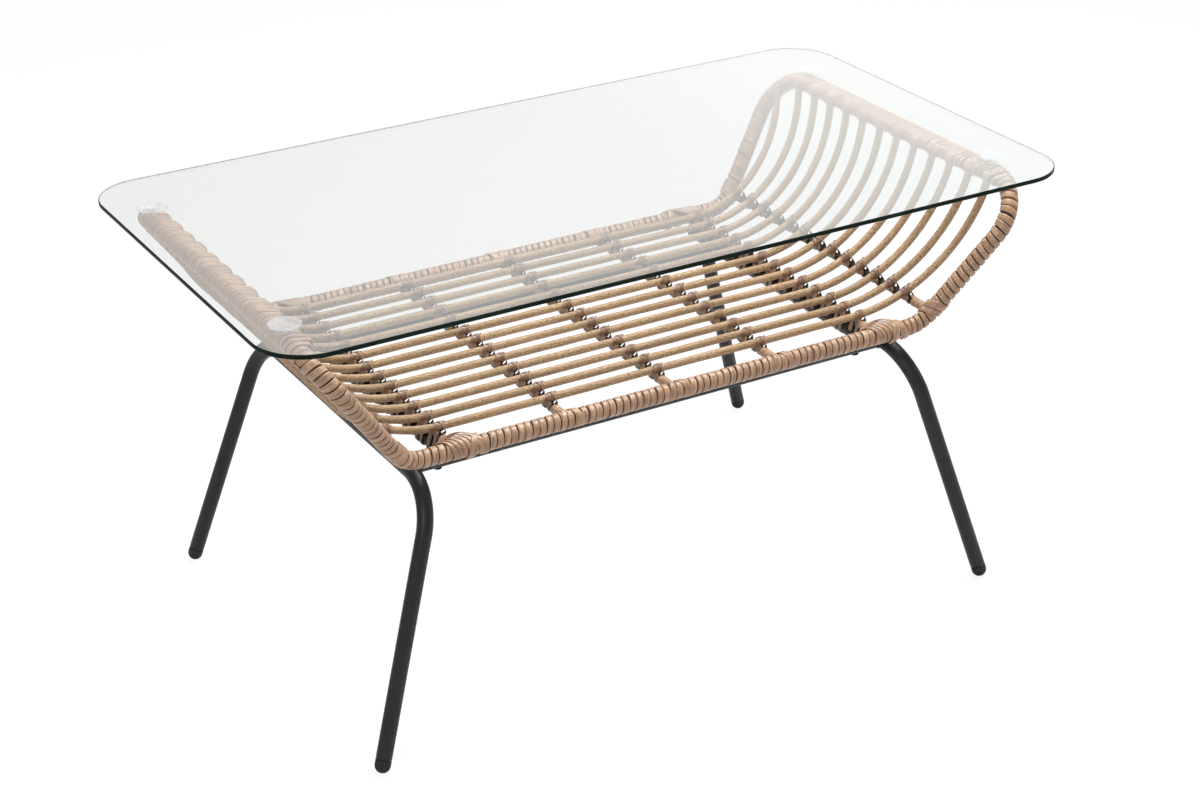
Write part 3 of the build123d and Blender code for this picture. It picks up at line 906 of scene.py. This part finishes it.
class Nodes:
    """Short helper for building a material's node tree."""

    def __init__(self, name):
        self.material = bpy.data.materials.new(name)
        self.material.use_nodes = True
        self.tree = self.material.node_tree
        self.tree.nodes.clear()
        self.out = self.add("ShaderNodeOutputMaterial")

    def add(self, kind, **inputs):
        """A new node whose inputs are linked to outputs or set to values."""
        node = self.tree.nodes.new(kind)
        for key, value in inputs.items():
            label = key.replace("_", " ")
            if hasattr(value, "is_output"):
                self.tree.links.new(value, node.inputs[label])
            else:
                node.inputs[label].default_value = value
        return node

    def link(self, source, target):
        self.tree.links.new(source, target)

    def length_uv(self, along, around):
        """Coordinates from the piece's own length and girth, stretched."""
        source = self.add("ShaderNodeUVMap")
        source.uv_map = "Length"
        mapping = self.add("ShaderNodeMapping", Vector=source.outputs["UV"])
        mapping.inputs["Scale"].default_value = (along, around, 1.0)
        return mapping.outputs["Vector"]

    def noise(self, vector, scale, detail, rough=0.55):
        """Soft random pattern from 0 to 1."""
        node = self.add("ShaderNodeTexNoise", Vector=vector, Scale=scale, Detail=detail, Roughness=rough)
        return node.outputs["Fac"]

    def ramp(self, value, stops):
        """Colour for a value, from rows of position and colour."""
        node = self.add("ShaderNodeValToRGB", Fac=value)
        ramp = node.color_ramp
        while len(ramp.elements) < len(stops):
            ramp.elements.new(0.5)
        for element, (position, colour) in zip(ramp.elements, stops):
            element.position = position
            element.color = (*colour, 1.0)
        return node.outputs["Color"]

    def spread(self, value, low, high):
        """Maps 0 to 1 onto low to high."""
        node = self.add("ShaderNodeMapRange", Value=value, To_Min=low, To_Max=high)
        return node.outputs["Result"]

    def multiply(self, first, second):
        """One colour darkened by another."""
        node = self.tree.nodes.new("ShaderNodeMix")
        node.data_type = "RGBA"
        node.blend_type = "MULTIPLY"
        sockets = {socket.name: socket for socket in node.inputs if socket.enabled}
        sockets["Factor"].default_value = 1.0
        self.link(first, sockets["A"])
        self.link(second, sockets["B"])
        return next(socket for socket in node.outputs if socket.enabled)

    def bump(self, height, distance):
        """Half-strength relief of a given depth in metres."""
        node = self.add("ShaderNodeBump", Height=height, Distance=distance, Strength=0.5)
        return node.outputs["Normal"]

    def principled(self, **inputs):
        """Ends the material with one plain surface."""
        node = self.add("ShaderNodeBsdfPrincipled", **inputs)
        self.link(node.outputs["BSDF"], self.out.inputs["Surface"])

    def blend(self, share, first, second):
        """Mixes two shaders."""
        node = self.add("ShaderNodeMixShader", Fac=share)
        self.link(first, node.inputs[1])
        self.link(second, node.inputs[2])
        return node.outputs["Shader"]

    def object_place(self):
        """The point's own place on the piece."""
        return self.add("ShaderNodeTexCoord").outputs["Object"]


def wicker_material(name, shade, warmth):
    """Flat resin strip: brown with lengthwise streaks, a satin skin, and painted shade that darkens its
    joints and other crevices.

    shade scales its brightness, and warmth takes out green and blue.
    """
    n = Nodes(name)
    streak = n.noise(n.length_uv(14.0, 700.0), 1.0, 4.0, 0.6)
    patch = n.noise(n.length_uv(24.0, 60.0), 1.0, 3.0)
    colour = n.ramp(streak, [(0.3, (0.245, 0.132, 0.073)), (0.5, (0.43, 0.255, 0.15)),
                             (0.7, (0.58, 0.38, 0.243))])
    low, high = 0.80 * shade, 1.14 * shade
    green, blue = 1 - 0.35 * warmth, 1 - warmth
    tone = n.ramp(patch, [(0.3, (low, low * green * 0.96, low * blue * 0.94)),
                          (0.7, (high, high * green, high * blue))])
    colour = n.multiply(colour, tone)
    # Painted shade: ambient occlusion darkens the colour in the joints between turns and in other
    # crevices, where shade falls.
    hollow = n.add("ShaderNodeAmbientOcclusion", Distance=0.004)
    hollow.samples = 6
    crevice_shade = n.ramp(hollow.outputs["AO"], [(0.28, (0.12, 0.085, 0.07)), (0.72, (1.0, 1.0, 1.0))])
    colour = n.multiply(colour, crevice_shade)
    rough = n.spread(streak, 0.38, 0.5)
    normal = n.bump(streak, 0.00015)
    n.principled(Base_Color=colour, Roughness=rough, Normal=normal, Coat_Weight=0.6, Coat_Roughness=0.17)
    return n.material


def reed_material():
    """Tan resin reed with a printed wood grain: fine lengthwise dark flecks."""
    n = Nodes("reed_grain")
    fleck = n.noise(n.length_uv(240.0, 1000.0), 1.0, 4.0, 0.65)
    fine = n.noise(n.length_uv(60.0, 1500.0), 1.0, 4.0, 0.6)
    patch = n.noise(n.length_uv(9.0, 45.0), 1.0, 2.0)
    base = n.ramp(fine, [(0.3, (0.37, 0.24, 0.14)), (0.55, (0.56, 0.39, 0.235)),
                         (0.75, (0.69, 0.51, 0.34))])
    dark = n.ramp(fleck, [(0.36, (0.38, 0.31, 0.27)), (0.54, (1.0, 1.0, 1.0))])
    tone = n.ramp(patch, [(0.3, (0.82, 0.80, 0.78)), (0.7, (1.08, 1.07, 1.05))])
    colour = n.multiply(n.multiply(base, dark), tone)
    rough = n.spread(fine, 0.5, 0.65)
    normal = n.bump(fine, 0.00016)
    n.principled(Base_Color=colour, Roughness=rough, Normal=normal, Specular_IOR_Level=0.3)
    return n.material


def black_material():
    """Satin black powder coat with a faint orange peel."""
    n = Nodes("black_powder_coat")
    spot = n.object_place()
    peel = n.noise(spot, 1400.0, 2.0)
    cloud = n.noise(spot, 24.0, 3.0)
    colour = n.ramp(cloud, [(0.3, (0.0055, 0.005, 0.0055)), (0.7, (0.009, 0.0083, 0.0095))])
    rough = n.spread(cloud, 0.4, 0.5)
    normal = n.bump(peel, 0.00006)
    n.principled(Base_Color=colour, Roughness=rough, Normal=normal)
    return n.material


def foot_material():
    """Moulded black plastic, duller than the tube and scuffed at the floor."""
    n = Nodes("foot_plastic")
    spot = n.object_place()
    grain = n.noise(spot, 900.0, 3.0)
    scuff = n.noise(spot, 180.0, 4.0)
    colour = n.ramp(scuff, [(0.35, (0.008, 0.008, 0.0085)), (0.75, (0.016, 0.0155, 0.0155))])
    rough = n.spread(scuff, 0.48, 0.68)
    n.principled(Base_Color=colour, Roughness=rough, Normal=n.bump(grain, 0.0001))
    return n.material


def rubber_material():
    """Clear soft plastic: see-through where it faces the eye, greyer at its edges."""
    n = Nodes("clear_soft_plastic")
    spot = n.object_place()
    haze = n.noise(spot, 120.0, 3.0)
    colour = n.ramp(haze, [(0.3, (0.56, 0.56, 0.62)), (0.7, (0.66, 0.66, 0.71))])
    rough = n.spread(haze, 0.2, 0.34)
    facing = n.add("ShaderNodeLayerWeight", Blend=0.45).outputs["Facing"]
    cover = n.spread(facing, 0.12, 0.62)
    n.principled(Base_Color=colour, Roughness=rough, Alpha=cover)
    return n.material


def glass_face(name, painted_glare_share):
    """Clear plate face; painted_glare_share is the share of painted reflection, a pale diffuse layer, at
    the plate's middle.
    """
    n = Nodes(name)
    spot = n.object_place()
    glare_ripple = n.noise(spot, 9.0, 3.0)
    clear = n.add("ShaderNodeBsdfPrincipled", Base_Color=(0.985, 1.0, 0.992, 1.0),
                  Transmission_Weight=1.0, IOR=1.5, Roughness=0.0)
    # Painted reflection: a pale diffuse layer mixed into the clear glass stands in for studio light
    # mirrored on the plate; a slow noise makes its share ripple slightly.
    bloom = n.add("ShaderNodeBsdfDiffuse", Color=BLOOM_COLOUR)
    across = n.add("ShaderNodeSeparateXYZ", Vector=spot).outputs["X"]
    slope = n.add("ShaderNodeMapRange", Value=across, From_Min=BLOOM_FROM_X, From_Max=BLOOM_TO_X,
                  To_Min=painted_glare_share, To_Max=painted_glare_share * BLOOM_GROWTH)
    slope.interpolation_type = "SMOOTHSTEP"
    share = n.add("ShaderNodeMath", Value=slope.outputs["Result"])
    share.operation = "MULTIPLY"
    n.link(n.spread(glare_ripple, 0.97, 1.03), share.inputs[1])
    face = n.blend(share.outputs["Value"], clear.outputs["BSDF"], bloom.outputs["BSDF"])
    pass_light(n, face, (0.96, 0.97, 0.965, 1.0))
    return n.material


def pass_light(n, shader, tint):
    """Lets lamps shine through, so that the glass casts no dark shadow."""
    ray = n.add("ShaderNodeLightPath")
    open_way = n.add("ShaderNodeBsdfTransparent", Color=tint)
    mixed = n.blend(ray.outputs["Is Shadow Ray"], shader, open_way.outputs["BSDF"])
    n.link(mixed, n.out.inputs["Surface"])


def glass_edge_material():
    """Ground edge: near black green seen from outside, pale seen through the plate."""
    n = Nodes("glass_edge")
    spot = n.object_place()
    drift = n.noise(spot, 40.0, 2.0)
    colour = n.ramp(drift, [(0.3, (0.008, 0.014, 0.011)), (0.7, (0.016, 0.028, 0.022))])
    dark = n.add("ShaderNodeBsdfPrincipled", Base_Color=colour, Roughness=0.2, IOR=1.12)
    pale = n.add("ShaderNodeBsdfDiffuse", Color=(0.42, 0.47, 0.45, 1.0))
    seen = n.add("ShaderNodeNewGeometry")
    mixed = n.blend(seen.outputs["Backfacing"], dark.outputs["BSDF"], pale.outputs["BSDF"])
    pass_light(n, mixed, (0.75, 0.8, 0.78, 1.0))
    return n.material


# --- studio ---

def studio():
    """Pale floor, soft lights and the photograph's viewing angle."""
    floor_mesh = bpy.data.meshes.new("floor")
    turns = ((-1, -1), (1, -1), (1, 1), (-1, 1))
    corners = [(sx * FLOOR_REACH, sy * FLOOR_REACH, 0) for sx, sy in turns]
    floor_mesh.from_pydata(corners, [], [(0, 1, 2, 3)])
    floor = bpy.data.objects.new("floor", floor_mesh)
    bpy.context.scene.collection.objects.link(floor)
    floor.location.z = -FLOOR_DROP
    floor_mesh.materials.append(floor_material())

    world = bpy.data.worlds.new("studio")
    bpy.context.scene.world = world
    world.use_nodes = True
    tree = world.node_tree
    sky = tree.nodes["Background"]
    sky.inputs["Color"].default_value = (1.0, 1.0, 1.0, 1.0)
    ray = tree.nodes.new("ShaderNodeLightPath")
    strength = tree.nodes.new("ShaderNodeMapRange")
    strength.inputs["To Min"].default_value = AMBIENT
    tree.links.new(ray.outputs["Is Camera Ray"], strength.inputs["Value"])
    tree.links.new(strength.outputs["Result"], sky.inputs["Strength"])

    for lamp in SOFTBOXES:
        softbox(*lamp)
    camera()
    bpy.context.scene.view_settings.view_transform = "Standard"


def floor_material():
    """White sweep that stays white under the table."""
    n = Nodes("floor_white")
    spot = n.object_place()
    mottle = n.noise(spot, 3.0, 2.0)
    colour = n.ramp(mottle, [(0.3, (0.78, 0.78, 0.78)), (0.7, (0.80, 0.80, 0.80))])
    paint = n.add("ShaderNodeBsdfDiffuse", Color=colour)
    ray = n.add("ShaderNodeLightPath")
    glow = n.add("ShaderNodeEmission", Color=(1.0, 1.0, 1.0, 1.0), Strength=FLOOR_GLOW)
    lit = n.blend(FLOOR_GLOW_SHARE, paint.outputs["BSDF"], glow.outputs["Emission"])
    seen = n.add("ShaderNodeMath", Value=ray.outputs["Is Camera Ray"])
    seen.operation = "MAXIMUM"
    n.link(ray.outputs["Is Transmission Ray"], seen.inputs[1])
    mixed = n.blend(seen.outputs["Value"], paint.outputs["BSDF"], lit)
    n.link(mixed, n.out.inputs["Surface"])
    return n.material


def softbox(name, at, towards, size, power):
    """A square soft light turned towards a point."""
    light = bpy.data.lights.new(name, "AREA")
    light.shape = "SQUARE"
    light.size = size
    light.energy = power
    lamp = bpy.data.objects.new(name, light)
    lamp.location = at
    lamp.rotation_mode = "QUATERNION"
    lamp.rotation_quaternion = (Vector(towards) - Vector(at)).to_track_quat("-Z", "Y")
    bpy.context.scene.collection.objects.link(lamp)


def camera():
    """A long lens from the front left, a little above the table."""
    azimuth, elevation = math.radians(CAMERA_AZIMUTH), math.radians(CAMERA_ELEVATION)
    roll = math.radians(CAMERA_ROLL)
    back = Vector((math.sin(azimuth) * math.cos(elevation),
                   -math.cos(azimuth) * math.cos(elevation), math.sin(elevation)))
    right = (-back).cross(Vector((0, 0, 1))).normalized()
    up = right.cross(-back)
    tilted_right = right * math.cos(roll) + up * math.sin(roll)
    tilted_up = up * math.cos(roll) - right * math.sin(roll)
    data = bpy.data.cameras.new("camera")
    data.sensor_width = CAMERA_SENSOR
    data.lens = CAMERA_LENS
    data.shift_x, data.shift_y = CAMERA_SHIFT
    eye = bpy.data.objects.new("camera", data)
    turn = Matrix((tilted_right, tilted_up, back)).transposed().to_4x4()
    eye.matrix_world = Matrix.Translation(CAMERA_AT) @ turn
    bpy.context.scene.collection.objects.link(eye)
    bpy.context.scene.camera = eye


# --- build ---

WICKER = wicker_material("wicker_strip", 1.0, 0.0)
# The knots use the same strip as the rim, darker and warmer; the darkening is painted shade for the
# shade the knots sit in.
WICKER_KNOT_SHADED = wicker_material("wicker_strip_shaded", 0.58, 0.18)
REED = reed_material()
BLACK = black_material()
FOOT_PLASTIC = foot_material()
CLEAR_RUBBER = rubber_material()
GLASS_ABOVE = glass_face("glass_top_face", BLOOM_SHARE)
GLASS_BELOW = glass_face("glass_under_face", 0.0)
GLASS_EDGE = glass_edge_material()

rim_binding()
reeds()
rods_and_lashings()
leg_frames()
stretchers()
tray_tubes()
foot_caps()
bolts()
glass_plate()
suction_cups()

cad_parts["rim_tube"].data.materials.clear()
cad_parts["rim_tube"].data.materials.append(BLACK)

studio()
